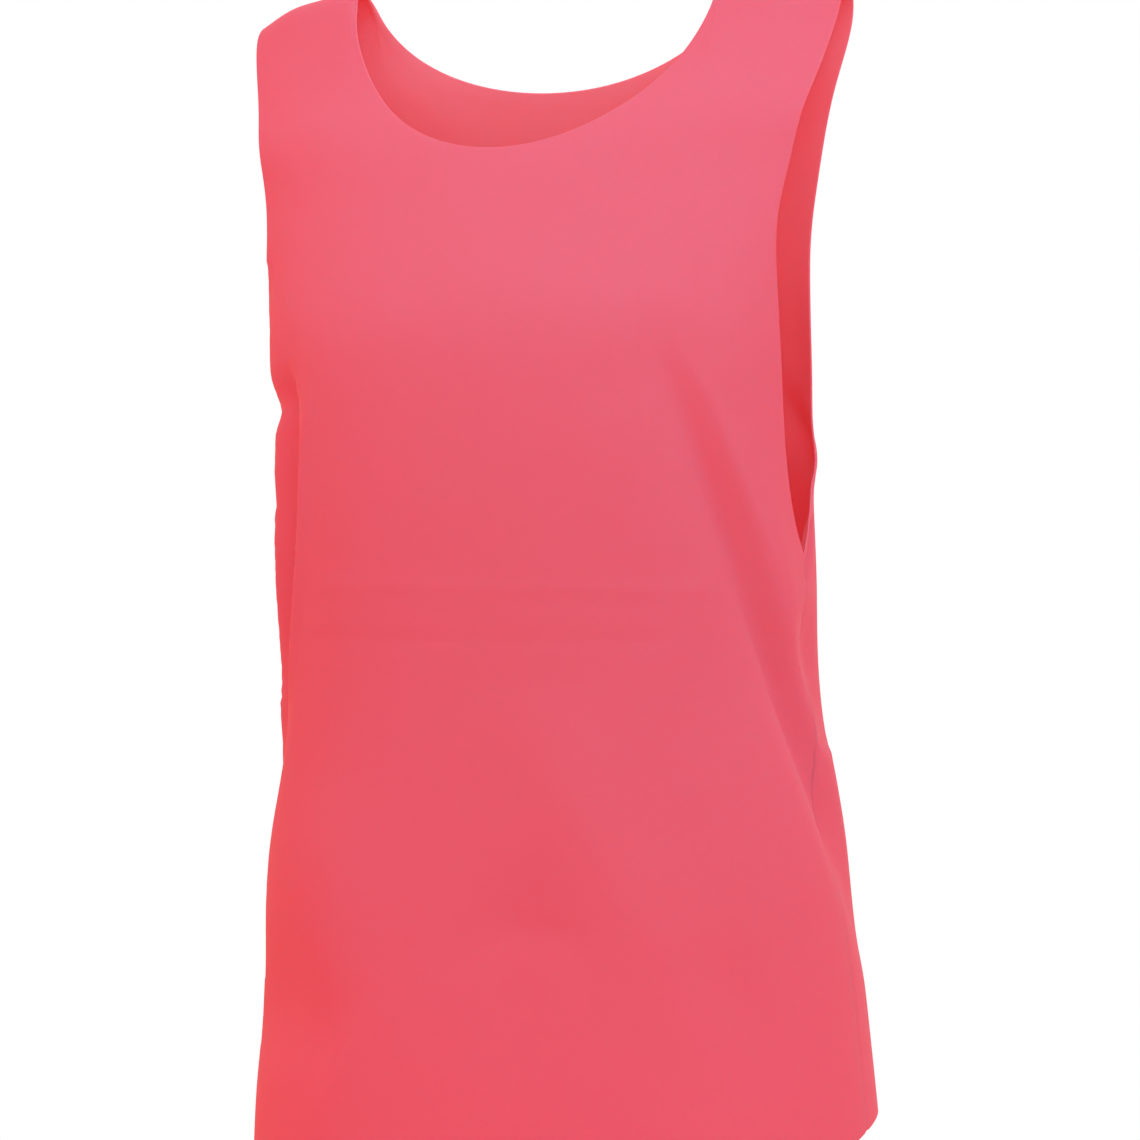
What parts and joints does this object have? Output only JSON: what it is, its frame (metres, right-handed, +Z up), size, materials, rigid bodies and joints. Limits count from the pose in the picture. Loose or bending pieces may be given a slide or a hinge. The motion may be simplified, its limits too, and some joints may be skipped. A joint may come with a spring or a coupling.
{
  "type": "sleeveless tank top",
  "caption": "Loose sleeveless jersey tank top with a scoop neck, wide straps, deep armholes and a curved hem, standing open as if worn.",
  "frame": {"origin": "where the wearer's shoulders hold it: midway between the two neck points of the shoulder seams", "axes": "+Z up, -Y the way the front faces, +X to the wearer's left"},
  "size_m": [0.3734, 0.2458, 0.7047],
  "materials": {
    "jersey": "plain fine cotton jersey in coral pink, soft and matt"
  },
  "bodies": {
    "root": {"front": "jersey", "back": "jersey"}
  },
  "joints": []
}
